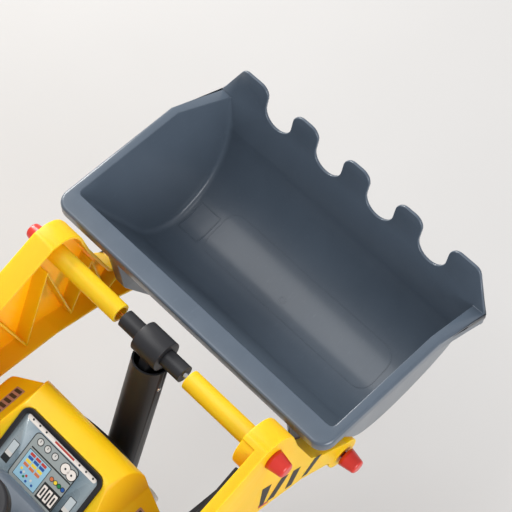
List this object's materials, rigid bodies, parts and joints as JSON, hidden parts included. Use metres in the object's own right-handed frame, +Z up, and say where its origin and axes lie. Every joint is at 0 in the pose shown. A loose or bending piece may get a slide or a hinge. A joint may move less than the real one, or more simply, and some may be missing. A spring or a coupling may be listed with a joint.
{
  "type": "toy backhoe loader",
  "caption": "Ride-on toy backhoe loader with a lifting, tilting front bucket, steered front wheels, an instrument panel, a seat and a folding rear digging arm.",
  "frame": {"origin": "on the floor under the middle of the toy's box, arms raised as stored", "axes": "+X forward towards the loader bucket, +Y to the rider's left, +Z up"},
  "size_m": [1.019, 0.335, 0.416],
  "materials": {
    "yellow_plastic": "semi-gloss injection-moulded, fine moulding texture",
    "slate_plastic": "semi-gloss grey-blue moulding with faint mould lines",
    "black_plastic": "fine matte moulding grain",
    "tyre_black": "satin blow-moulded plastic",
    "grip_rubber": "soft matte rubber",
    "red_plastic": "glossy push-on cap",
    "bright_steel": "bright drawn steel",
    "panel_print": "glossy printed instrument panel",
    "lamp_clear": "clear moulded lens"
  },
  "bodies": {
    "body": {"hood": "yellow_plastic", "dash_bezel": "black_plastic", "dash_panel": "panel_print", "front_grille": "black_plastic", "headlamps": "lamp_clear", "chassis": "black_plastic", "body_screws": "bright_steel", "column_shroud": "slate_plastic", "rear_body": "yellow_plastic", "seat": "black_plastic", "backrest": "black_plastic", "hoe_mount": "black_plastic", "rear_axle": "bright_steel", "rear_axle_caps": "red_plastic", "arm_stubs": "bright_steel", "arm_root_caps": "red_plastic", "strut_foot_pin": "bright_steel", "swing_pin": "bright_steel"},
    "steering": {"steering_wheel": "black_plastic", "steering_column": "bright_steel", "horn_spring": "bright_steel", "front_bracket": "black_plastic", "front_axle": "bright_steel", "front_axle_caps": "red_plastic"},
    "horn": {"horn_button": "red_plastic"},
    "front_wheel_left": {"front_wheel_left": "tyre_black", "front_rim_left": "yellow_plastic"},
    "front_wheel_right": {"front_wheel_right": "tyre_black", "front_rim_right": "yellow_plastic"},
    "rear_wheel_left": {"rear_wheel_left": "tyre_black", "rear_rim_left": "yellow_plastic"},
    "rear_wheel_right": {"rear_wheel_right": "tyre_black", "rear_rim_right": "yellow_plastic"},
    "loader_arms": {"arm_left": "yellow_plastic", "arm_right": "yellow_plastic", "arm_guard": "black_plastic", "cross_bar": "bright_steel", "bar_sleeves": "black_plastic", "bar_caps": "red_plastic", "lift_handle": "black_plastic", "lift_grip": "grip_rubber"},
    "loader_bucket": {"bucket": "slate_plastic", "bucket_shaft": "bright_steel", "bucket_caps": "red_plastic", "tilt_bucket_pin": "bright_steel"},
    "tilt_lever": {"tilt_lever": "black_plastic", "tilt_grip": "grip_rubber", "tilt_lever_pin": "bright_steel"},
    "tilt_link": {"tilt_link": "black_plastic"},
    "strut_tube": {"strut_eye": "black_plastic", "strut_barrel": "black_plastic", "strut_cross_pin": "bright_steel"},
    "strut_rod": {"strut_rod": "black_plastic"},
    "hoe_post": {"swing_post": "black_plastic", "boom_pin": "bright_steel"},
    "hoe_boom": {"hoe_boom": "yellow_plastic"},
    "hoe_stick": {"hoe_stick": "yellow_plastic", "stick_pin": "bright_steel"},
    "hoe_bucket": {"hoe_bucket": "slate_plastic", "hoe_bucket_pin": "bright_steel"}
  },
  "joints": [
    {"name": "steer", "type": "hinge", "parent": "body", "child": "steering", "pos_m": [0.08253, 0, 0.07], "axis": [-0.1521, 0, 0.9884], "range_deg": [-12, 12]},
    {"name": "horn_press", "type": "slide", "parent": "steering", "child": "horn", "axis": [0.1521, 0, -0.9884], "range_m": [0, 0.0025], "stiffness_N_per_m": 400, "deforming": ["horn_spring"]},
    {"name": "front_roll_left", "type": "hinge", "parent": "steering", "child": "front_wheel_left", "pos_m": [0.08253, 0.072, 0.07], "axis": [0, 1, 0], "continuous": true},
    {"name": "front_roll_right", "type": "hinge", "parent": "steering", "child": "front_wheel_right", "pos_m": [0.08253, -0.072, 0.07], "axis": [0, 1, 0], "continuous": true},
    {"name": "rear_roll_left", "type": "hinge", "parent": "body", "child": "rear_wheel_left", "pos_m": [-0.18196, 0.11, 0.088], "axis": [0, 1, 0], "continuous": true},
    {"name": "rear_roll_right", "type": "hinge", "parent": "body", "child": "rear_wheel_right", "pos_m": [-0.18196, -0.11, 0.088], "axis": [0, 1, 0], "continuous": true},
    {"name": "arm_lift", "type": "hinge", "parent": "body", "child": "loader_arms", "pos_m": [0.04804, 0, 0.273], "axis": [0, -1, 0], "range_deg": [-30, 2]},
    {"name": "bucket_tilt", "type": "hinge", "parent": "loader_arms", "child": "loader_bucket", "pos_m": [0.35003, 0, 0.213], "axis": [0, 1, 0], "range_deg": [0, 70]},
    {"name": "lever_turn", "type": "hinge", "parent": "loader_arms", "child": "tilt_lever", "pos_m": [0.04804, -0.115, 0.273], "axis": [0, 1, 0], "range_deg": [0, 70]},
    {"name": "link_turn", "type": "hinge", "parent": "tilt_lever", "child": "tilt_link", "pos_m": [0.02004, -0.109, 0.318], "axis": [0, 1, 0], "range_deg": [-70, 0]},
    {"name": "strut_swing", "type": "hinge", "parent": "loader_arms", "child": "strut_tube", "pos_m": [0.25804, 0, 0.363], "axis": [0, -1, 0], "range_deg": [-1.05, 15.69]},
    {"name": "strut_slide", "type": "slide", "parent": "strut_tube", "child": "strut_rod", "axis": [-0.3115, 0, -0.9503], "range_m": [-0.0982, 0.00664]},
    {"name": "hoe_swing", "type": "hinge", "parent": "body", "child": "hoe_post", "pos_m": [-0.32197, 0, 0.131], "axis": [0, 0, 1], "range_deg": [-50, 50]},
    {"name": "hoe_boom_lower", "type": "hinge", "parent": "hoe_post", "child": "hoe_boom", "pos_m": [-0.35396, 0, 0.134], "axis": [0, -1, 0], "range_deg": [-8, 55]},
    {"name": "hoe_stick_out", "type": "hinge", "parent": "hoe_boom", "child": "hoe_stick", "pos_m": [-0.40197, 0, 0.345], "axis": [0, 1, 0], "range_deg": [-10, 60]},
    {"name": "hoe_bucket_curl", "type": "hinge", "parent": "hoe_stick", "child": "hoe_bucket", "pos_m": [-0.47796, 0, 0.225], "axis": [0, -1, 0], "range_deg": [-50, 35]}
  ],
  "couplings": [
    {"joint": "lever_turn", "follows": "bucket_tilt", "ratio": 1},
    {"joint": "link_turn", "follows": "bucket_tilt", "ratio": -1},
    {"joint": "strut_swing", "follows": "arm_lift", "ratio": -0.5225},
    {"joint": "strut_slide", "follows": "arm_lift", "m_per_rad": 0.18736}
  ]
}
